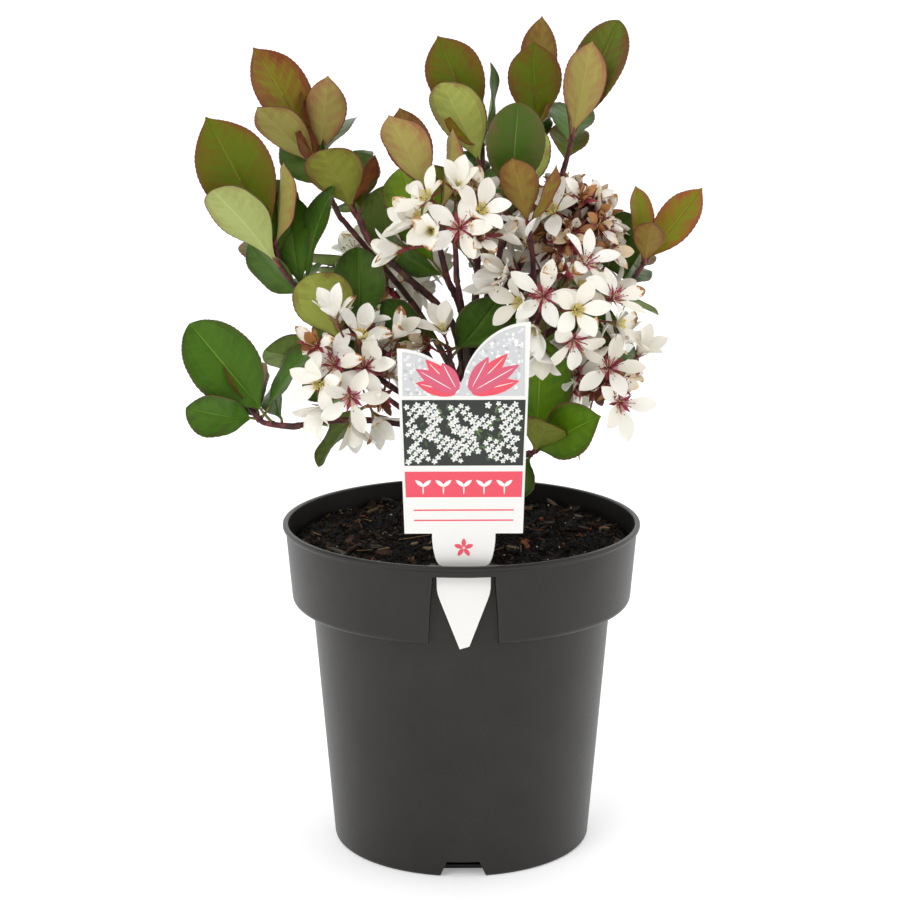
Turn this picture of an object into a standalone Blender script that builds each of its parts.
"""A potted Indian hawthorn in flower: a small evergreen shrub in a 3 litre nursery pot.

The parts are the pot, the potting mix, the plant label, the trunk, the boughs and one mass of leaves or
blossom at the end of each bough. Sizes are millimetres in the tables and metres in the scene. The origin
is the centre of the pot's flat underside, -Y is the front where the label stands, and +Z is up.
"""

import collections
import math
import random

import bmesh
import bpy
from mathutils import Matrix, Vector, noise
from mathutils.bvhtree import BVHTree

MM = 0.001
CLEAR = 0.3

# The pot: a tapered wall, a wider band at the top with a pocket for the label, and a flat lip.
BASE_RADIUS = 68.8
BASE_EDGE = 1.5
WALL_TOP_RADIUS = 79.7
BAND_BOTTOM = 132.1
BAND_BOTTOM_RADIUS = 90.05
BAND_TOP_RADIUS = 93.4
LIP_RADIUS = 95.0
LIP_THICKNESS = 2.4
POT_HEIGHT = 174.5
WALL = 1.3
FLOOR = 2.0
TURN_STEPS = 40
NOTCH_COUNT = 3
NOTCH_WIDTH = 25.0
NOTCH_TOP_WIDTH = 17.0
NOTCH_HEIGHT = 8.5
NOTCH_DEPTH = 12.0
DRAIN_COUNT = 6
DRAIN_RADIUS = 5.0
DRAIN_CIRCLE = 42.0
DRAIN_TURN = 0.32

# The label's pocket at the front of the band.
POCKET_TOP = 168.7
POCKET_HALF_TOP = 15.5
POCKET_HALF_BOTTOM = 17.5
POCKET_BACK = 82.5
POCKET_WALL = 1.5
BLOCK_BOTTOM = 133.3
SHELF_TOP = 172.0
SLOT_HALF_WIDTH = 12.4
SLOT_HALF_DEPTH = 0.8

# The label: a card with two arches on top, a neck through the slot, and a barbed point.
LABEL_Y = -87.4
LABEL_THICKNESS = 0.6
CARD_TOP_HALF = 32.6
CARD_BOTTOM_HALF = 29.3
CARD_BOTTOM = 190.0
ARCH_NOTCH = (-0.8, 265.0)
LEFT_CORNER = 283.0
RIGHT_CORNER = 296.0
LEFT_ARCH_POWER = 0.9
RIGHT_ARCH_POWER = 0.6
ARCH_POINTS = 8
NECK_HALF = 15.7
NECK_BOTTOM = 178.5
WAIST_HALF = 11.8
BARB_HALF = 13.5
BARB_TOP = 167.6
POINT_HALF = 2.6
POINT_BOTTOM = 130.0

# The potting mix.
MIX_LEVEL = 165.0
MIX_RINGS = (17.0, 31.0, 45.0, 59.0, 73.0)
MIX_ROUGHNESS = 2.6
MIX_GRAIN = 0.045

# The trunk from the flat cut at the mix to its fork, as (x, y, z, radius).
TRUNK = (
    (2, 4, 165.3, 10.5),
    (2, 4, 169, 7.6),
    (0.6, 2.6, 182, 6.6),
    (1, 1.5, 205, 6.2),
    (3, 0.8, 235, 6.0),
    (4, 0, 262, 5.4),
)

# The boughs, each as its radius at the foot and at the tip, and the points that it runs through.
BOUGHS = {
    "upper_mid": (2.6, 2.1, ((1, -1, 257), (-6, -3, 283), (-26, -8, 304), (-46, -12, 324), (-51, -14, 334))),
    "mid": (2.5, 2.1, ((4, -3, 256), (2, -6, 280), (-3, -9, 296))),
    "top": (2.5, 2.0, ((5, 1, 256), (7, 3, 282), (9, 6, 318))),
    "top_right": (2.5, 1.9, ((6, 3, 254), (16, 4, 285), (31, 4, 311), (44, 4, 338), (50, 4, 352))),
    "mid_right": (2.3, 1.9, ((6, -2, 254), (12, -7, 280), (17, -13, 305), (20, -17, 322))),
    "top_centre": (2.3, 1.8, ((4, 3, 252), (15, 15, 298), (29, 23, 338), (37, 25, 362))),
    "upper_left": (2.2, 1.7, ((0, 2, 246), (-24, 4, 288), (-48, 2, 318), (-61, 0, 334))),
    "blossom_mid": (2.2, 1.8, ((4, -3, 246), (1, -17, 285), (-2, -21, 305))),
    "right": (2.6, 1.9, ((4, 1, 240), (35, -1, 268), (62, -1, 286), (82, 0, 297))),
    "blossom_right": (2.6, 2.2, ((4, -1, 236), (20, -11, 262), (32, -15, 280))),
    "blossom_high_right": (2.4, 1.9, ((4, 3, 244), (25, 9, 286), (42, 5, 312))),
    "left": (2.7, 2.1, ((2, 0, 228), (-30, -8, 258), (-62, -12, 282), (-76, -13, 293))),
    "blossom_left": (2.5, 2.0, ((2, 0, 222), (-25, -14, 242), (-42, -18, 254))),
    "centre": (2.3, 1.9, ((3, 0, 240), (-2, -9, 252), (-5, -13, 260))),
    "low_left": (2.5, 2.0, ((1, 1, 205), (-25, -5, 226), (-62, -11, 231), (-84, -15, 229))),
    "blossom_low_right": (2.5, 1.9, ((2, 1, 212), (34, -3, 234), (58, -4, 245))),
    "low_right": (2.4, 1.9, ((1, 1, 190), (20, -11, 206), (33, -19, 214))),
    "back_left": (2.5, 1.9, ((2, 1, 230), (-20, 24, 262), (-32, 40, 280))),
    "back_mid": (2.5, 1.9, ((3, 2, 238), (6, 28, 275), (8, 46, 296))),
    "back_right": (2.5, 1.9, ((3, 2, 224), (28, 26, 258), (44, 40, 278))),
    "low_back_left": (2.3, 1.8, ((1, 2, 200), (-18, 22, 218), (-40, 40, 232))),
    "low_back_right": (2.3, 1.8, ((1, 2, 196), (20, 26, 214), (36, 50, 228))),
}

# The masses. Each has twigs, of which the first goes on from its bough and the others leave it at a share
# of its length. A leaf is (share of its twig, lean to the right of upright, lean towards the front,
# petiole, blade, width, roll from face-on, colour), in degrees and millimetres. Blossom is a hub's dome
# radius and the places of its flowers on the dome, to the right of and above the hub.
MASSES = {
    "low_left": {
        "twigs": [
            (
                0,
                ((-95, -15, 229), (-104, -15, 231), (-110, -15, 238)),
                (
                    (0.46, -37, 8, 12, 58, 36, 12, "green"),
                    (0.72, -74, 25, 6, 36, 26, -18, "green"),
                    (1.0, -27, 12, 1, 30, 15, 72, "tan"),
                    (0.74, 37, -8, 8, 40, 19, -62, "green"),
                ),
            ),
        ],
        "more": 4,
    },
    "left": {
        "twigs": [
            (
                0,
                ((-81, -12, 297), (-92, -15, 311), (-95, -15, 322)),
                (
                    (1.0, -26.5, 6, 8, 68, 38, 14, "olive"),
                    (0.7, -36, 28, 6, 55, 29, 158, "pale"),
                    (1.0, 7, 12, 3, 43, 24, 118, "tan"),
                    (0.22, -8, -8, 5, 46, 27, -22, "dark"),
                    (0.85, 0, -16, 4, 37, 22, 40, "dark"),
                    (0.1, -47, -14, 4, 40, 25, -42, "dark"),
                    (0.2, 17, 14, 8, 54, 22, -62, "dark"),
                ),
            ),
        ],
        "more": 3,
    },
    "upper_left": {
        "twigs": [
            (
                0,
                ((-70, 10, 350), (-74, 15, 364)),
                (
                    (1.0, -29.5, 4, 7, 60, 31, 34, "bronze"),
                    (0.85, -43, 24, 5, 46, 24, 154, "tan"),
                    (1.0, -14, -6, 4, 35, 18, 70, "red"),
                    (1.0, 7, 10, 5, 40, 22, 172, "pink"),
                    (0.5, -33, -28, 5, 38, 27, -10, "dark"),
                    (0.95, -34, 36, 2, 24, 15, 48, "red"),
                ),
            ),
        ],
        "more": 3,
    },
    "upper_mid": {
        "twigs": [
            (
                0,
                ((-55, -15, 341), (-57, -15, 347)),
                (
                    (0.5, -24, 34, 5, 40, 29, 168, "olive"),
                    (0.7, 4, -30, 4, 27, 25, 10, "dark"),
                    (0.8, 26, -4, 3, 25, 16, 58, "red"),
                ),
            ),
        ],
        "more": 3,
    },
    "mid": {
        "twigs": [
            (
                0,
                ((-7, -12, 305), (-12, -18, 327), (-16, -20, 349)),
                (
                    (1.0, -25, 20, 5, 45, 26, 152, "pink"),
                    (0.97, -19, -6, 5, 44, 24, 202, "bronze"),
                    (0.55, 7, 10, 20, 41, 21, 116, "pink"),
                    (0.12, -34, 14, 16, 36, 17, 34, "bright"),
                    (0.2, -60, -16, 4, 38, 22, -40, "dark"),
                    (0.55, -30, -24, 6, 40, 30, 8, "bright"),
                ),
            ),
        ],
        "more": 2,
    },
    "top": {
        "twigs": [
            (
                0,
                ((11, 9, 345), (11, 10, 371)),
                (
                    (1.0, -22.3, 4, 8, 54, 30, 14, "olive"),
                    (0.8, -25, 22, 5, 49, 28, 160, "pale"),
                    (1.0, -54, 26, 3, 25, 14, 50, "tan"),
                    (1.0, 5, -6, 4, 40, 17, 78, "dark"),
                ),
            ),
        ],
        "more": 2,
    },
    "top_centre": {
        "twigs": [
            (
                0,
                ((39, 25, 371), (40, 25, 379)),
                (
                    (0.7, -3, 5, 4, 47, 28, 4, "olive"),
                    (0.9, 2.5, -12, 8, 53, 20, 196, "bronze"),
                    (1.0, 18, 24, 3, 14, 6, 60, "pink"),
                ),
            ),
        ],
        "more": 2,
    },
    "top_right": {
        "twigs": [
            (
                0,
                ((54, 5, 364), (57, 5, 376)),
                (
                    (1.0, 22, -6, 5, 60, 27, -24, "green"),
                    (1.0, 10, 14, 4, 49, 22, 166, "pink"),
                    (0.9, -7, -12, 2, 26, 10, 76, "red"),
                ),
            ),
        ],
        "more": 2,
    },
    "mid_right": {
        "twigs": [
            (
                0,
                ((22, -20, 335), (24, -22, 346)),
                (
                    (1.0, 5, 6, 4, 48, 30, 6, "dark"),
                    (0.8, 17, -14, 7, 41, 26, 168, "pale"),
                ),
            ),
        ],
        "more": 2,
    },
    "right": {
        "twigs": [
            (
                0,
                ((89, 0, 303), (95, 0, 312)),
                (
                    (1.0, -8, 5, 4, 37, 17, 42, "bronze"),
                    (1.0, 4, 42, 3, 30, 16, 172, "bronze"),
                    (1.0, 37, 0, 4, 45, 20, -20, "bronze"),
                    (0.2, -10, -24, 5, 37, 29, -8, "dark"),
                ),
            ),
        ],
        "more": 3,
    },
    "low_right": {
        "twigs": [
            (
                0,
                ((36, -20, 215), (38, -21, 216)),
                (
                    (1.0, 3, 0, 6, 56, 34, 6, "bright"),
                    (0.9, 16, 50, 3, 32, 24, 172, "pale"),
                    (1.0, 52, 34, 4, 46, 28, -30, "bright"),
                    (0.7, -150, 32, 3, 26, 20, 24, "dark"),
                ),
            ),
        ],
        "more": 2,
    },
    "centre": {
        "twigs": [
            (
                0,
                ((-6, -15, 266), (-7, -16, 271)),
                (
                    (0.9, -56, -6, 8, 34, 25, -30, "dark"),
                    (0.4, 36, 20, 8, 38, 27, 16, "dark"),
                    (0.8, 66, 17, 12, 34, 22, -20, "green"),
                ),
            ),
        ],
        "dome": 15,
        "flowers": ((-2, 10, "cup"), (-11, 2, "spent")),
        "more": 0,
    },
    "blossom_left": {
        "twigs": [
            (
                0,
                ((-50, -20, 258), (-57, -20, 263)),
                (
                    (1.0, -24, 4, 15, 36, 33, 170, "pale"),
                    (0.6, -2, -10, 24, 40, 27, 6, "dark"),
                    (0.3, -104, 12, 4, 34, 20, 40, "dark"),
                ),
            ),
        ],
        "dome": 33,
        "flowers": (
            (6, 18, "yellow"),
            (9, 3, "red"),
            (1, -10, "red"),
            (-15, -6, "yellow"),
            (23, 16, "cup"),
            (-6, 23, "cup"),
            (-17, 13, "spent"),
            (16, -14, "spent"),
            (-13, -20, "cup"),
            (1, -28, "cup"),
            (13, -26, "cup"),
            (21, -2, "cup"),
        ),
        "more": 2,
    },
    "blossom_mid": {
        "twigs": [
            (
                0,
                ((-3, -23, 322), (-5, -25, 335)),
                (),
            ),
        ],
        "dome": 31,
        "flowers": (
            (-12, 16, "yellow"),
            (-20, 8, "yellow"),
            (-9, 0, "cup"),
            (4, 2, "red"),
            (13, 9, "yellow"),
            (-26, -11, "cup"),
            (2, 17, "cup"),
            (8, -10, "bud"),
            (14, -3, "spent"),
        ),
        "more": 0,
    },
    "blossom_right": {
        "twigs": [
            (
                0,
                ((41, -16, 290), (48, -16, 298)),
                (),
            ),
            (
                0.45,
                ((37, -24, 306), (36, -31, 320), (34, -34, 335)),
                (
                    (1.0, -14, 20, 4, 36, 20, 162, "bronze"),
                    (1.0, 23, 8, 3, 32, 17, 62, "bronze"),
                ),
            ),
        ],
        "dome": 38,
        "flowers": (
            (-7, 4, "red"),
            (8, -3, "yellow"),
            (15, 10, "yellow"),
            (25, 1, "red"),
            (32, -13, "yellow"),
            (-25, 14, "cup"),
            (-10, -13, "cup"),
            (-15, 30, "cup"),
            (9, -20, "red"),
            (-6, -24, "cup"),
            (-32, 6, "cup"),
            (2, 17, "spent"),
        ),
        "more": 0,
    },
    "blossom_high_right": {
        "twigs": [
            (
                0,
                ((49, 5, 321), (55, 4, 328)),
                (),
            ),
        ],
        "dome": 28,
        "flowers": (
            (-8, 13, "yellow"),
            (5, 14, "yellow"),
            (16, 5, "cup"),
            (-2, -2, "spent"),
            (7, -8, "spent"),
            (21, -8, "red"),
            (-14, 3, "spent"),
        ),
        "more": 3,
    },
    "blossom_low_right": {
        "twigs": [
            (
                0,
                ((67, -5, 249), (75, -5, 252)),
                ((0.3, 8, 6, 8, 40, 28, 4, "dark"),),
            ),
        ],
        "dome": 29,
        "flowers": (
            (1, 10, "red"),
            (7, -9, "red"),
            (-7, 0, "spent"),
            (13, 8, "spent"),
            (-12, -25, "cup"),
            (-4, 20, "cup"),
            (17, 16, "cup"),
        ),
        "more": 3,
    },
    "back_left": {
        "twigs": [(0, ((-38, 47, 288), (-42, 52, 298)), ())],
        "rule_dome": 22,
        "rule_flowers": 6,
        "more": 8,
    },
    "back_mid": {
        "twigs": [(0, ((8, 54, 306), (8, 58, 316)), ())],
        "more": 9,
    },
    "back_right": {
        "twigs": [(0, ((51, 46, 288), (56, 50, 298)), ())],
        "rule_dome": 24,
        "rule_flowers": 7,
        "more": 8,
    },
    "low_back_left": {
        "twigs": [(0, ((-50, 48, 236), (-58, 54, 240)), ())],
        "more": 8,
    },
    "low_back_right": {
        "twigs": [(0, ((42, 60, 232), (46, 68, 238)), ())],
        "rule_dome": 22,
        "rule_flowers": 5,
        "more": 7,
    },
}

# How leaves are shaped: shares of the blade's length with the share of its width there.
LEAF_STATIONS = ((0.0, 0.12), (0.26, 0.78), (0.58, 1.0), (0.85, 0.62))
LEAF_THICKNESS = 1.1
LEAF_FOLD = 12.0
PETIOLE_HALF = 0.9
BENDS = {"dark": 26, "green": 20, "bright": 20, "olive": 14, "pale": 16, "tan": 10, "pink": 8, "bronze": 10, "red": 8}
GROWN = 0.4

# How flowers are shaped: radius, rise of the petals in degrees and points to a petal.
FLOWERS = {
    "yellow": (14.5, 18, ((-0.5, 0.34), (-0.24, 0.94), (0.2, 1.0))),
    "red": (15.5, 12, ((-0.5, 0.26), (-0.17, 0.9), (0.15, 1.0))),
    "cup": (13.0, 48, ((-0.5, 0.36), (-0.24, 0.94), (0.2, 1.0))),
    "spent": (8.5, 40, ((-0.5, 0.3), (0, 1.0))),
    "bud": (6.0, 70, ((-0.5, 0.6), (0, 1.0))),
}
PETALS = 5
FLOWER_DEPTH = 2.6
DOME_FLATNESS = 0.8
DOME_LIFT = 0.25
STALK_RADIUS = 1.0
STALK_SIDES = 3
STALK_ROOTS = (0.72, 0.82, 0.92, 1.0)

# The seeded rule for leaves and flowers that no table row gives.
GOLDEN_TURN = math.radians(137.5)
GOLDEN_SHARE = 0.618
TRIES = 24
OUTER_BLADE = 0.7
BACK_SPREAD = math.radians(44)
BACK_TILT = (58, 86)
ROUND_TILT = (38, 82)
BACK_BLADE = (30, 42)
ROUND_BLADE = (36, 52)
NUDGES = (0.0, 3.0, -3.0, 6.0, -6.0, 9.0)
REACH = 92.0
LOWEST = 186.0
LABEL_SPACE = ((-37, -92, 160), (37, -84, 300))
SAMPLE_STEP = 2.0
TRUNK_SIDES = 10
BOUGH_SIDES = 6
FLAT_ANGLE = math.radians(1)
KEPT_SHARES = (0.62, 0.66, 0.7, 0.74, 0.8, 0.9, 1.0)
GRAINS = (1e-6, 1e-7)
TWIG_TAPER = 0.62
SIDE_TWIG_SHARE = 0.8


def mm(point):
    """A point of the tables as a vector in millimetres."""
    return Vector(point[:3])


def smooth(points, per_span):
    """Points along a Catmull-Rom curve through the given ones."""
    ends = [2 * points[0] - points[1], *points, 2 * points[-1] - points[-2]]
    path = []
    for a, b, c, d in zip(ends, ends[1:], ends[2:], ends[3:]):
        for step in range(per_span):
            t = step / per_span
            path.append(
                0.5 * (2 * b + (c - a) * t + (2 * a - 5 * b + 4 * c - d) * t**2 + (3 * b - a - 3 * c + d) * t**3)
            )
    path.append(points[-1].copy())
    return path


def along(path, share):
    """The point at this share of the path's length, and the direction there."""
    spans = [(b - a).length for a, b in zip(path, path[1:])]
    left = share * sum(spans)
    for a, b, span in zip(path, path[1:], spans):
        if left <= span or b is path[-1]:
            break
        left -= span
    direction = (b - a).normalized()
    return a + direction * min(left, span), direction


def limb(path, foot, tip):
    """A limb as its path with a radius at each point, even in its taper."""
    last = len(path) - 1
    return [(point, foot + (tip - foot) * i / last) for i, point in enumerate(path)]


def bough_limb(name):
    foot, tip, points = BOUGHS[name]
    return limb(smooth([mm(p) for p in points], 2), foot, tip)


def twig_limbs(name):
    """The mass's twigs: the first goes on from its bough, a little clear of it."""
    bough = bough_limb(name)
    end, radius = bough[-1]
    way = (end - bough[-2][0]).normalized()
    start = end + way * CLEAR
    limbs = []
    for share, points, _ in MASSES[name]["twigs"]:
        if not limbs:
            path = [start] + smooth([start + way * 3.0] + [mm(p) for p in points], 2)
            limbs.append(limb(path, radius, radius * TWIG_TAPER))
            continue
        root, _ = along([p for p, _ in limbs[0]], share)
        path = smooth([root] + [mm(p) for p in points], 2)
        limbs.append(limb(path, radius * SIDE_TWIG_SHARE, radius * TWIG_TAPER))
    return limbs


def trunk_limb():
    path = []
    for a, b in zip(TRUNK, TRUNK[1:]):
        path.append((mm(a), a[3]))
        path.append(((mm(a) + mm(b)) / 2, (a[3] + b[3]) / 2))
    path.append((mm(TRUNK[-1]), TRUNK[-1][3]))
    return path


def facing(direction, toward):
    """The unit vector square to a direction that lies nearest to another one."""
    return (toward - direction * toward.dot(direction)).normalized()


def leaf_of_row(twig, row):
    """A leaf of the tables: its foot, direction, upper face, petiole, blade, width and colour."""
    share, lean, toward, petiole, blade, width, roll, colour = row
    foot, _ = along([p for p, _ in twig], share)
    lean = math.radians(lean)
    toward = math.radians(toward)
    direction = Vector(
        (math.sin(lean) * math.cos(toward), -math.sin(toward), math.cos(lean) * math.cos(toward))
    )
    face = Matrix.Rotation(math.radians(roll), 3, direction) @ facing(direction, Vector((0, -1, 0)))
    return foot, direction, face, petiole, blade, width, colour


def leaf_body(leaf, grow=0.0):
    """The leaf as a closed thin body that arches over its length and folds along its midrib."""
    foot, direction, face, petiole, blade, width, colour = leaf
    bend = math.radians(BENDS[colour])
    side = direction.cross(face)
    start = foot + direction * petiole
    rings = [(foot, face, PETIOLE_HALF + grow, PETIOLE_HALF + grow, 0.0)]
    for share, spread in LEAF_STATIONS:
        turn = bend * (share - 0.5)
        ahead = (math.sin(turn) + math.sin(bend / 2)) / bend
        rise = (math.cos(turn) - math.cos(bend / 2)) / bend
        centre = start + (direction * ahead + face * rise) * blade
        up = face * math.cos(turn) + direction * math.sin(turn)
        half = width / 2 * spread + grow
        rings.append((centre, up, half, LEAF_THICKNESS / 2 + grow, half * math.tan(math.radians(LEAF_FOLD))))
    points = []
    for centre, up, half, thick, lift in rings:
        points += [centre - side * half + up * lift, centre + up * thick]
        points += [centre + side * half + up * lift, centre - up * thick]
    points.append(start + direction * (2 * math.sin(bend / 2) / bend * blade + grow))
    faces = [(3, 2, 1, 0)]
    for ring in range(len(rings) - 1):
        for k in range(4):
            a = ring * 4 + k
            b = ring * 4 + (k + 1) % 4
            faces.append((a, b, b + 4, a + 4))
    last = (len(rings) - 1) * 4
    faces += [(last + k, last + (k + 1) % 4, len(points) - 1) for k in range(4)]
    return points, faces


def flower_body(flower, grow=0.0):
    """The flower as a closed star: a fan of petals over a shallow cone, on its stalk's end."""
    centre, axis, kind = flower[:3]
    radius, rise, outline = FLOWERS[kind]
    rise = math.radians(rise)
    across = facing(axis, Vector((0.3, 0.2, 1)))
    other = axis.cross(across)
    rim = []
    for petal in range(PETALS):
        for turn, share in outline:
            angle = math.tau * (petal + turn) / PETALS
            reach = radius * share + grow
            out = (across * math.cos(angle) + other * math.sin(angle)) * math.cos(rise)
            rim.append(centre + (out + axis * math.sin(rise)) * reach)
    points = rim + [centre + axis * grow, centre - axis * (FLOWER_DEPTH + grow)]
    count = len(rim)
    faces = []
    for k in range(count):
        after = (k + 1) % count
        faces += [(k, after, count), (after, k, count + 1)]
    return points, faces


def tree_of(body):
    return BVHTree.FromPolygons(*body)


def samples(path):
    """Points at even steps inside a limb, with its radius there."""
    found = []
    for (a, ra), (b, rb) in zip(path, path[1:]):
        steps = max(1, round((b - a).length / SAMPLE_STEP))
        found += [(a.lerp(b, k / steps), ra + (rb - ra) * k / steps) for k in range(steps)]
    return found + [path[-1]]


def box_body(low, high):
    corners = [Vector((x, y, z)) for x in (low[0], high[0]) for y in (low[1], high[1]) for z in (low[2], high[2])]
    faces = [(0, 1, 3, 2), (4, 6, 7, 5), (0, 4, 5, 1), (2, 3, 7, 6), (0, 2, 6, 4), (1, 5, 7, 3)]
    return corners, faces


class Plan:
    """Where every limb, leaf and flower is. What would touch another mass or a limb is skipped."""

    def __init__(self):
        self.limbs = {"trunk": [trunk_limb()]}
        self.limbs.update({"bough_" + name: [bough_limb(name)] for name in BOUGHS})
        self.limbs.update({name: twig_limbs(name) for name in MASSES})
        self.inside = {name: [samples(path) for path in paths] for name, paths in self.limbs.items()}
        self.leaves = {name: [] for name in MASSES}
        self.flowers = {name: [] for name in MASSES}
        self.trees = {name: [] for name in MASSES}
        self.stars = {name: [] for name in MASSES}
        self.trees["label"] = [tree_of(box_body(*LABEL_SPACE))]
        self.skipped = []
        for name in MASSES:
            self.add_rows(name)
        for name in MASSES:
            self.add_flowers(name)
        for name in MASSES:
            self.add_by_rule(name)

    def is_free(self, name, grown):
        """Whether a grown body keeps to its mass's space and touches nothing of another."""
        centre = self.limbs[name][0][-1][0]
        points = grown[0]
        if any(p.z < LOWEST or (p - centre).length > REACH for p in points):
            return False
        tree = tree_of(grown)
        for other, paths in self.inside.items():
            if other == name:
                continue
            for path in paths:
                if any(tree.find_nearest(point, radius + CLEAR)[0] is not None for point, radius in path):
                    return False
        return not any(
            tree.overlap(placed) for other, trees in self.trees.items() if other != name for placed in trees
        )

    def add_leaf(self, name, leaf):
        grown = leaf_body(leaf, GROWN)
        if not self.is_free(name, grown):
            return False
        self.leaves[name].append(leaf)
        self.trees[name].append(tree_of(leaf_body(leaf)))
        return True

    def add_flower(self, name, flower):
        grown = flower_body(flower, GROWN)
        centre, axis, kind, root = flower
        stalk = limb([root, centre - axis * FLOWER_DEPTH / 2], STALK_RADIUS, STALK_RADIUS)
        stalk_tree = tree_of(rod_body(stalk, GROWN))
        others = [tree for other, trees in self.trees.items() if other != name for tree in trees]
        if not self.is_free(name, grown) or any(stalk_tree.overlap(tree) for tree in others):
            return False
        self.flowers[name].append(flower)
        self.stars[name].append(tree_of(flower_body(flower)))
        self.trees[name] += [self.stars[name][-1], tree_of(rod_body(stalk))]
        return True

    def add_rows(self, name):
        for twig, (_, _, rows) in zip(self.limbs[name], MASSES[name]["twigs"]):
            for row in rows:
                if not self.add_leaf(name, leaf_of_row(twig, row)):
                    self.skipped.append((name, row))

    def add_flowers(self, name):
        mass = MASSES[name]
        main = [p for p, _ in self.limbs[name][0]]
        hub = main[-1]
        dome = mass.get("dome", 0)
        for index, (right, up, kind) in enumerate(mass.get("flowers", ())):
            depth = math.sqrt(max(dome**2 - right**2 - up**2, 0.0)) * DOME_FLATNESS
            offset = Vector((right, -depth, up))
            self.place_flower(name, hub, offset, kind, main, index)

    def place_flower(self, name, hub, offset, kind, main, index):
        axis = (offset.normalized() + Vector((0, 0, DOME_LIFT))).normalized()
        root, _ = along(main, STALK_ROOTS[index % len(STALK_ROOTS)])
        places = [hub + offset + axis * nudge for nudge in NUDGES]
        apart = []
        for place in places:
            star = tree_of(flower_body((place, axis, kind)))
            if not any(star.overlap(other) for other in self.stars[name]):
                apart.append(place)
        for place in apart + places[:1]:
            if self.add_flower(name, (place, axis, kind, root)):
                return
        self.skipped.append((name, kind, tuple(round(v) for v in offset)))

    def add_by_rule(self, name):
        """Flowers and leaves at golden turns about the mass's twig, on the sides that no row describes."""
        mass = MASSES[name]
        dice = random.Random(name)
        main = [p for p, _ in self.limbs[name][0]]
        hub = main[-1]
        has_rows = any(rows for _, _, rows in mass["twigs"]) or "flowers" in mass
        for index in range(mass.get("rule_flowers", 0)):
            out = Vector((math.cos(index * GOLDEN_TURN), math.sin(index * GOLDEN_TURN), 0))
            rise = 0.15 + 0.75 * (index + 0.5) / mass["rule_flowers"]
            offset = (out * math.cos(rise) + Vector((0, 0, math.sin(rise)))) * mass["rule_dome"]
            kind = dice.choice(("yellow", "red", "cup", "cup", "spent"))
            self.place_flower(name, hub, offset, kind, main, index)
        start = dice.random()
        for index in range(mass["more"]):
            for attempt in range(TRIES):
                share = (start + (index * TRIES + attempt) * GOLDEN_SHARE) % 1 - 0.5
                leaf = self.leaf_by_rule(dice, main, share, has_rows)
                foot, direction, face, petiole, blade, width, colour = leaf
                outer_foot = foot + direction * (petiole + blade * (1 - OUTER_BLADE))
                outer = tree_of(leaf_body((outer_foot, direction, face, 0, blade * OUTER_BLADE, width, colour)))
                if any(outer.overlap(own) for own in self.trees[name]):
                    continue
                if self.add_leaf(name, leaf):
                    break

    def leaf_by_rule(self, dice, main, share, backward):
        """A leaf at a share of a turn about the twig: all round, or within a fan to the back."""
        foot, way = along(main, dice.uniform(0.15, 1.0))
        turn = share * (BACK_SPREAD if backward else math.tau)
        tilt = math.radians(dice.uniform(*(BACK_TILT if backward else ROUND_TILT)))
        across = facing(way, Vector((0, 1, 0.2)))
        other = way.cross(across)
        out = across * math.cos(turn) + other * math.sin(turn)
        direction = (way * math.cos(tilt) + out * math.sin(tilt)).normalized()
        face = facing(direction, way + Vector((0, 0, 0.6)))
        blade = dice.uniform(*(BACK_BLADE if backward else ROUND_BLADE))
        colour = dice.choice(("dark", "dark", "green", "olive"))
        return foot, direction, face, dice.uniform(5, 9), blade, blade * dice.uniform(0.52, 0.62), colour


def rod_body(path, grow=0.0):
    """A straight limb of two points as a closed rod."""
    (a, ra), (b, rb) = path
    way = (b - a).normalized()
    across = facing(way, Vector((0.2, 0.3, 1)))
    other = way.cross(across)
    points = []
    for centre, radius in ((a, ra + grow), (b, rb + grow)):
        for k in range(STALK_SIDES):
            angle = math.tau * k / STALK_SIDES
            points.append(centre + (across * math.cos(angle) + other * math.sin(angle)) * radius)
    faces = [tuple(range(STALK_SIDES - 1, -1, -1)), tuple(range(STALK_SIDES, 2 * STALK_SIDES))]
    for k in range(STALK_SIDES):
        after = (k + 1) % STALK_SIDES
        faces.append((k, after, after + STALK_SIDES, k + STALK_SIDES))
    return points, faces


def new_collection(name):
    collection = bpy.data.collections.new(name)
    bpy.context.scene.collection.children.link(collection)
    return collection


def material(name, colour, roughness, metallic=0.0):
    made = bpy.data.materials.new(name)
    made.use_nodes = True
    shader = made.node_tree.nodes["Principled BSDF"]
    shader.inputs["Base Color"].default_value = (*colour, 1.0)
    shader.inputs["Roughness"].default_value = roughness
    shader.inputs["Metallic"].default_value = metallic
    return made


def link_mesh(name, mesh, collection, surface=None):
    made = bpy.data.objects.new(name, mesh)
    if surface:
        made.data.materials.append(surface)
    collection.objects.link(made)
    return made


def body_object(name, body, collection, surface):
    """A closed body of the plan as an object, its faces turned outward."""
    points, faces = body
    mesh = bpy.data.meshes.new(name)
    mesh.from_pydata([p * MM for p in points], [], faces)
    shape = bmesh.new()
    shape.from_mesh(mesh)
    bmesh.ops.recalc_face_normals(shape, faces=shape.faces)
    shape.to_mesh(mesh)
    shape.free()
    return link_mesh(name, mesh, collection, surface)


def as_mesh(obj, weld=True):
    """The object's evaluated shape as a plain mesh, the loose caps of a curve welded on."""
    graph = bpy.context.evaluated_depsgraph_get()
    mesh = bpy.data.meshes.new_from_object(obj.evaluated_get(graph))
    shape = bmesh.new()
    shape.from_mesh(mesh)
    if weld:
        bmesh.ops.remove_doubles(shape, verts=shape.verts, dist=1e-6)
    bmesh.ops.recalc_face_normals(shape, faces=shape.faces)
    shape.to_mesh(mesh)
    shape.free()
    return mesh


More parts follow.
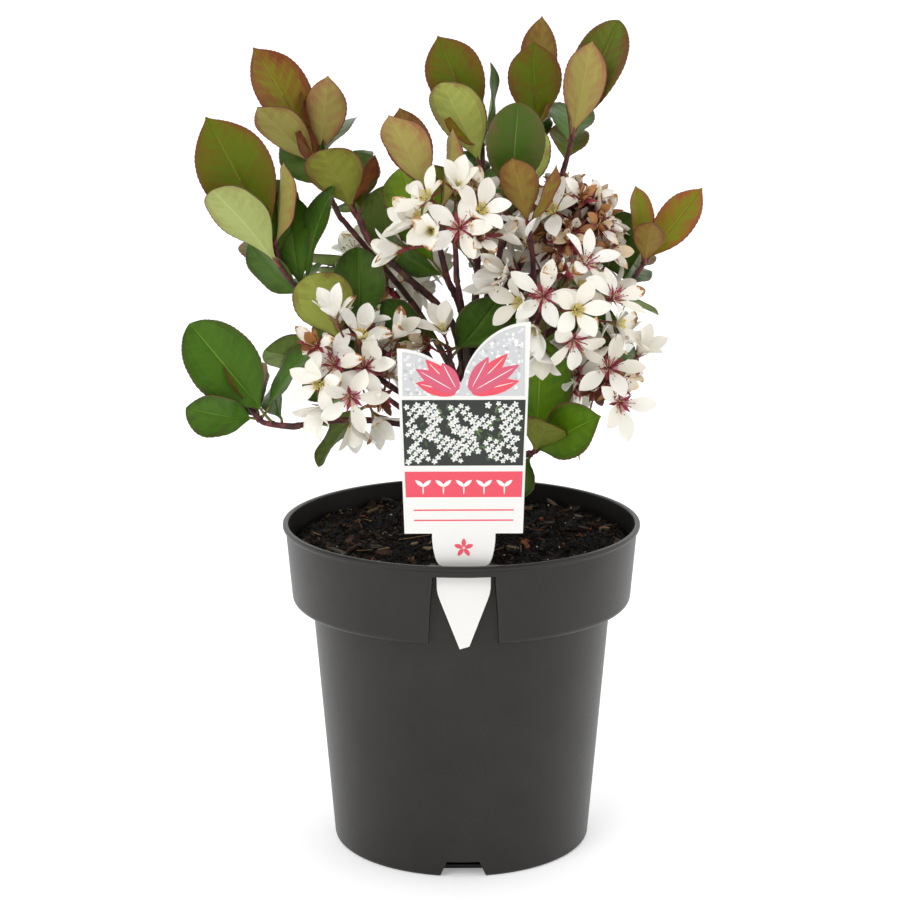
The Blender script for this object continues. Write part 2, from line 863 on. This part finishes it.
def limb_object(name, path, collection, sides, surface=None, grow=0.0):
    """A tapering limb: a curve through its points with a round bevel and filled caps, made a mesh."""
    curve = bpy.data.curves.new(name, "CURVE")
    curve.dimensions = "3D"
    curve.bevel_depth = MM
    curve.bevel_resolution = (sides - 4) // 2
    curve.use_fill_caps = True
    spline = curve.splines.new("POLY")
    spline.points.add(len(path) - 1)
    for point, (place, radius) in zip(spline.points, path):
        point.co = (*(place * MM), 1.0)
        point.radius = radius + grow
    guide = bpy.data.objects.new(name, curve)
    collection.objects.link(guide)
    made = link_mesh(name, as_mesh(guide), collection, surface)
    bpy.data.objects.remove(guide)
    made.name = name
    return made


def keep_main_body(mesh):
    """Keeps the largest connected shell: a sealed hollow is filled and a loose scrap dropped."""
    shape = bmesh.new()
    shape.from_mesh(mesh)
    seen = set()
    shells = []
    for first in shape.faces:
        if first in seen:
            continue
        seen.add(first)
        shell = [first]
        for face in shell:
            for edge in face.edges:
                for beside in edge.link_faces if len(edge.link_faces) == 2 else ():
                    if beside not in seen:
                        seen.add(beside)
                        shell.append(beside)
        shells.append(shell)
    biggest = max(shells, key=lambda shell: sum(face.calc_area() for face in shell))
    loose = [face for shell in shells if shell is not biggest for face in shell]
    bmesh.ops.delete(shape, geom=loose, context="FACES")
    bmesh.ops.dissolve_limit(shape, angle_limit=FLAT_ANGLE, verts=shape.verts, edges=shape.edges)
    bmesh.ops.triangulate(shape, faces=shape.faces)
    shape.to_mesh(mesh)
    shape.free()


def is_closed(mesh, grain):
    """Whether every edge has just two faces once the points within one grain are the same."""
    places = [tuple(round(c / grain) for c in vertex.co) for vertex in mesh.vertices]
    uses = collections.Counter()
    for face in mesh.polygons:
        corners = [places[index] for index in face.vertices]
        if len(set(corners)) == len(corners):
            uses.update(frozenset(pair) for pair in zip(corners, corners[1:] + corners[:1]))
    return all(count == 2 for count in uses.values())


def join(target, operation, others):
    """Applies one Boolean of a whole collection to the target and removes what was in it.

    A union is thinned to a share of its triangles, a larger one where the smaller isn't closed.
    """
    boolean = target.modifiers.new("joined", "BOOLEAN")
    boolean.operation = operation
    boolean.operand_type = "COLLECTION"
    boolean.collection = others
    boolean.solver = "EXACT"
    boolean.material_mode = "TRANSFER"
    fewer = target.modifiers.new("fewer", "DECIMATE")
    fewer.use_collapse_triangulate = True
    for share in KEPT_SHARES if operation == "UNION" else (1.0,):
        fewer.ratio = share
        mesh = as_mesh(target, weld=False)
        keep_main_body(mesh)
        if all(is_closed(mesh, grain) for grain in GRAINS):
            break
    target.modifiers.clear()
    old = target.data
    target.data = mesh
    bpy.data.meshes.remove(old)
    for other in list(others.objects):
        bpy.data.objects.remove(other)
    bpy.data.collections.remove(others)


def subtract(target, cutter):
    boolean = target.modifiers.new(cutter.name, "BOOLEAN")
    boolean.operation = "DIFFERENCE"
    boolean.object = cutter


def prism(name, corners, front, back, collection):
    """A flat outline in X and Z, given corner by corner, as a block from the front to the back."""
    curve = bpy.data.curves.new(name, "CURVE")
    curve.dimensions = "2D"
    curve.fill_mode = "BOTH"
    curve.extrude = (back - front) / 2 * MM
    spline = curve.splines.new("POLY")
    spline.points.add(len(corners) - 1)
    for point, (x, z) in zip(spline.points, corners):
        point.co = (x * MM, z * MM, 0, 1)
    spline.use_cyclic_u = True
    guide = bpy.data.objects.new(name, curve)
    collection.objects.link(guide)
    made = link_mesh(name, as_mesh(guide), collection)
    made.rotation_euler.x = math.radians(90)
    made.location.y = (front + back) / 2 * MM
    bpy.data.objects.remove(guide)
    made.name = name
    return made


def box(name, low, high, collection):
    """A box between two corners."""
    mesh = bpy.data.meshes.new(name)
    shape = bmesh.new()
    bmesh.ops.create_cube(shape, size=1.0)
    size = [(b - a) * MM for a, b in zip(low, high)]
    bmesh.ops.scale(shape, vec=size, verts=shape.verts)
    shape.to_mesh(mesh)
    shape.free()
    made = link_mesh(name, mesh, collection)
    made.location = [(a + b) / 2 * MM for a, b in zip(low, high)]
    return made


def hide(cutter):
    cutter.hide_render = True
    cutter.display_type = "WIRE"


def turned(name, profile, collection, surface):
    """A profile of (radius, height) points turned about Z."""
    mesh = bpy.data.meshes.new(name)
    points = [(r * MM, 0, z * MM) for r, z in profile]
    mesh.from_pydata(points, [(k, k + 1) for k in range(len(points) - 1)], [])
    made = link_mesh(name, mesh, collection, surface)
    screw = made.modifiers.new("turned", "SCREW")
    screw.steps = TURN_STEPS
    screw.render_steps = TURN_STEPS
    screw.use_merge_vertices = True
    screw.merge_threshold = 0.00001
    return made


def wall_radius(height):
    """The outer radius of the pot's wall below the band."""
    return BASE_RADIUS + (WALL_TOP_RADIUS - BASE_RADIUS) * height / BAND_BOTTOM


def pot_profile():
    """The pot's section from the middle of its floor up the inside, over the lip and down the outside."""
    ledge = BAND_BOTTOM + WALL
    lip_bottom = POT_HEIGHT - LIP_THICKNESS
    inside = [
        (0, FLOOR),
        (wall_radius(FLOOR) - WALL, FLOOR),
        (wall_radius(BAND_BOTTOM) - WALL, ledge),
        (BAND_BOTTOM_RADIUS - WALL, ledge),
        (BAND_TOP_RADIUS - WALL, POT_HEIGHT),
    ]
    outside = [
        (LIP_RADIUS - 0.5, POT_HEIGHT),
        (LIP_RADIUS, POT_HEIGHT - 0.6),
        (LIP_RADIUS - 0.3, lip_bottom),
        (BAND_TOP_RADIUS + 0.1, lip_bottom - 0.3),
        (BAND_BOTTOM_RADIUS + 0.1, BAND_BOTTOM + 1.8),
        (BAND_BOTTOM_RADIUS - 1.4, BAND_BOTTOM),
        (WALL_TOP_RADIUS, BAND_BOTTOM),
        (wall_radius(BASE_EDGE), BASE_EDGE),
        (BASE_RADIUS - BASE_EDGE, 0),
        (0, 0),
    ]
    return inside + outside


def pocket_outline(margin, bottom, top):
    """The pocket seen from the front: it widens downward. The margin is added at its sides."""
    return [
        (-POCKET_HALF_BOTTOM - margin, bottom),
        (POCKET_HALF_BOTTOM + margin, bottom),
        (POCKET_HALF_TOP + margin, top),
        (-POCKET_HALF_TOP - margin, top),
    ]


def make_pot(parts, helpers, surface):
    pot = turned("pot", pot_profile(), parts, surface)
    block = prism(
        "pocket_block",
        pocket_outline(POCKET_WALL, BLOCK_BOTTOM, SHELF_TOP),
        -LIP_RADIUS,
        -POCKET_BACK + POCKET_WALL,
        helpers,
    )
    profile = [
        (0, SHELF_TOP + 1),
        (BAND_TOP_RADIUS - WALL / 2, SHELF_TOP + 1),
        (BAND_BOTTOM_RADIUS - WALL / 2, BAND_BOTTOM + 0.2),
        (0, BAND_BOTTOM + 0.2),
    ]
    envelope = turned("band_envelope", profile, helpers, None)
    hide(envelope)
    trim = block.modifiers.new("trim", "BOOLEAN")
    trim.operation = "INTERSECT"
    trim.object = envelope
    hide(block)
    boolean = pot.modifiers.new("pocket", "BOOLEAN")
    boolean.operation = "UNION"
    boolean.object = block
    recess = prism(
        "pocket_recess",
        pocket_outline(0, BAND_BOTTOM - 3, POCKET_TOP),
        -LIP_RADIUS - 10,
        -POCKET_BACK,
        helpers,
    )
    slot = box(
        "label_slot",
        (-SLOT_HALF_WIDTH, LABEL_Y - SLOT_HALF_DEPTH, POCKET_TOP - 2),
        (SLOT_HALF_WIDTH, LABEL_Y + SLOT_HALF_DEPTH, POT_HEIGHT + 2),
        helpers,
    )
    cutters = [recess, slot]
    for index in range(NOTCH_COUNT):
        corners = [
            (-NOTCH_WIDTH / 2, -1),
            (NOTCH_WIDTH / 2, -1),
            (NOTCH_TOP_WIDTH / 2, NOTCH_HEIGHT),
            (-NOTCH_TOP_WIDTH / 2, NOTCH_HEIGHT),
        ]
        notch = prism(f"foot_notch_{index}", corners, -BASE_RADIUS - 4, -BASE_RADIUS + NOTCH_DEPTH, helpers)
        turn = Matrix.Rotation(math.tau * index / NOTCH_COUNT, 4, "Z")
        notch.matrix_world = turn @ notch.matrix_basis
        cutters.append(notch)
    for index in range(DRAIN_COUNT):
        angle = math.tau * (index + DRAIN_TURN) / DRAIN_COUNT
        bpy.ops.mesh.primitive_cylinder_add(
            vertices=12,
            radius=DRAIN_RADIUS * MM,
            depth=6 * FLOOR * MM,
            location=(DRAIN_CIRCLE * MM * math.cos(angle), DRAIN_CIRCLE * MM * math.sin(angle), 0),
        )
        drain = bpy.context.object
        drain.name = f"drain_{index}"
        for holder in list(drain.users_collection):
            holder.objects.unlink(drain)
        helpers.objects.link(drain)
        cutters.append(drain)
    for cutter in cutters:
        hide(cutter)
        subtract(pot, cutter)
    return pot


def make_mix(parts, helpers, surface):
    """The filling: flat where the trunk stands, rough elsewhere, and clear of the pot all round."""
    ledge = BAND_BOTTOM + WALL + CLEAR
    band_slope = (BAND_TOP_RADIUS - BAND_BOTTOM_RADIUS) / (POT_HEIGHT - BAND_BOTTOM)
    edge = MIX_LEVEL - 1.5
    edge_radius = BAND_BOTTOM_RADIUS - WALL - CLEAR + band_slope * (edge - ledge)
    profile = [(0, MIX_LEVEL), *((r, MIX_LEVEL) for r in MIX_RINGS), (edge_radius, edge)]
    profile += [
        (BAND_BOTTOM_RADIUS - WALL - CLEAR, ledge),
        (wall_radius(BAND_BOTTOM) - WALL - CLEAR, ledge),
        (wall_radius(FLOOR) - WALL - CLEAR, FLOOR + CLEAR),
        (0, FLOOR + CLEAR),
    ]
    turned_mix = turned("turned_mix", profile, helpers, None)
    mix = link_mesh("potting_mix", as_mesh(turned_mix, weld=False), parts, surface)
    bpy.data.objects.remove(turned_mix)
    for vertex in mix.data.vertices:
        place = vertex.co / MM
        if place.z < edge - 0.1 or place.xy.length < MIX_RINGS[0] + 1:
            continue
        lump = noise.noise(place * MIX_GRAIN) + 0.5 * noise.noise(place * MIX_GRAIN * 3)
        vertex.co.z += lump * MIX_ROUGHNESS * MM
    clearance = prism(
        "pocket_clearance",
        pocket_outline(POCKET_WALL + CLEAR, BAND_BOTTOM, MIX_LEVEL + 20),
        -LIP_RADIUS,
        -POCKET_BACK + POCKET_WALL + CLEAR,
        helpers,
    )
    hide(clearance)
    subtract(mix, clearance)
    return mix


def label_outline():
    """The label's outline as (x, z) points, round from the left foot of the card."""
    middle, notch = ARCH_NOTCH
    left = []
    for k in range(ARCH_POINTS):
        share = 1 - k / ARCH_POINTS
        rise = (1 - (1 - share) ** 2) ** LEFT_ARCH_POWER
        left.append((middle - (CARD_TOP_HALF + middle) * share, notch + (LEFT_CORNER - notch) * rise))
    right = []
    for k in range(1, ARCH_POINTS + 1):
        share = k / ARCH_POINTS
        rise = (1 - (1 - share) ** 2) ** RIGHT_ARCH_POWER
        right.append((middle + (CARD_TOP_HALF - middle) * share, notch + (RIGHT_CORNER - notch) * rise))
    lower = [
        (CARD_BOTTOM_HALF, CARD_BOTTOM),
        (NECK_HALF, CARD_BOTTOM),
        (NECK_HALF, NECK_BOTTOM),
        (WAIST_HALF, NECK_BOTTOM - 4),
        (WAIST_HALF, BARB_TOP),
        (BARB_HALF, BARB_TOP),
        (BARB_HALF - 1, BARB_TOP - 5),
        (POINT_HALF, POINT_BOTTOM + 1),
        (POINT_HALF - 1.2, POINT_BOTTOM),
    ]
    mirrored = [(-x, z) for x, z in reversed(lower)]
    return left + [ARCH_NOTCH] + right + lower + mirrored


def make_label(parts, surface):
    curve = bpy.data.curves.new("label", "CURVE")
    curve.dimensions = "2D"
    curve.fill_mode = "BOTH"
    curve.extrude = LABEL_THICKNESS / 2 * MM
    outline = label_outline()
    spline = curve.splines.new("POLY")
    spline.points.add(len(outline) - 1)
    for point, (x, z) in zip(spline.points, outline):
        point.co = (x * MM, z * MM, 0, 1)
    spline.use_cyclic_u = True
    curve.materials.append(surface)
    label = bpy.data.objects.new("label", curve)
    label.rotation_euler.x = math.radians(90)
    label.location.y = LABEL_Y * MM
    parts.objects.link(label)
    return label


def make_limbs(plan, parts, surface):
    """The trunk and the boughs, each bough cut clear of the trunk and of the boughs before it."""
    limb_object("trunk", plan.limbs["trunk"][0], parts, TRUNK_SIDES, surface)
    placed = ["trunk"]
    for name in BOUGHS:
        node = "bough_" + name
        bough = limb_object(node, plan.limbs[node][0], parts, BOUGH_SIDES, surface)
        inside = plan.inside[node][0]
        cutters = new_collection("cutters")
        for other in placed:
            around = plan.inside[other][0]
            if any((p - q).length < a + b + 2 * CLEAR for p, a in inside for q, b in around):
                sides = TRUNK_SIDES if other == "trunk" else BOUGH_SIDES
                limb_object("grown_" + other, plan.limbs[other][0], cutters, sides, grow=CLEAR * 1.3)
        join(bough, "DIFFERENCE", cutters)
        placed.append(node)


def make_mass(name, plan, parts, bark, leafy, petal):
    """One mass: its twigs with its leaves and flowers fused on by one union."""
    pieces = new_collection("pieces")
    twigs = plan.limbs[name]
    stem = limb_object("mass_" + name, twigs[0], parts, BOUGH_SIDES, bark)
    for index, twig in enumerate(twigs[1:]):
        limb_object(f"twig_{index}", twig, pieces, BOUGH_SIDES, bark)
    for index, leaf in enumerate(plan.leaves[name]):
        body_object(f"leaf_{index}", leaf_body(leaf), pieces, leafy)
    for index, flower in enumerate(plan.flowers[name]):
        centre, axis, _, root = flower
        stalk = limb([root, centre - axis * FLOWER_DEPTH / 2], STALK_RADIUS, STALK_RADIUS)
        body_object(f"flower_{index}", flower_body(flower), pieces, petal)
        body_object(f"stalk_{index}", rod_body(stalk), pieces, bark)
    join(stem, "UNION", pieces)


def shade_smooth(collection):
    for obj in collection.objects:
        if obj.type == "MESH":
            obj.data.shade_smooth()
            obj.data.set_sharp_from_angle(angle=math.radians(35))


def main():
    for obj in list(bpy.data.objects):
        bpy.data.objects.remove(obj)
    parts = new_collection("potted_indian_hawthorn")
    helpers = new_collection("cutters_of_the_pot")
    plastic = material("pot plastic", (0.02, 0.021, 0.023), 0.45)
    mix = material("potting mix", (0.025, 0.017, 0.012), 0.95)
    card = material("label card", (0.8, 0.8, 0.78), 0.35)
    bark = material("bark", (0.06, 0.03, 0.025), 0.7)
    leaves = material("leaves", (0.09, 0.14, 0.03), 0.4)
    blossom = material("blossom", (0.7, 0.68, 0.62), 0.6)
    make_pot(parts, helpers, plastic)
    make_mix(parts, helpers, mix)
    make_label(parts, card)
    plan = Plan()
    make_limbs(plan, parts, bark)
    for name in MASSES:
        make_mass(name, plan, parts, bark, leaves, blossom)
    shade_smooth(parts)
    return plan


if __name__ == "__main__":
    main()
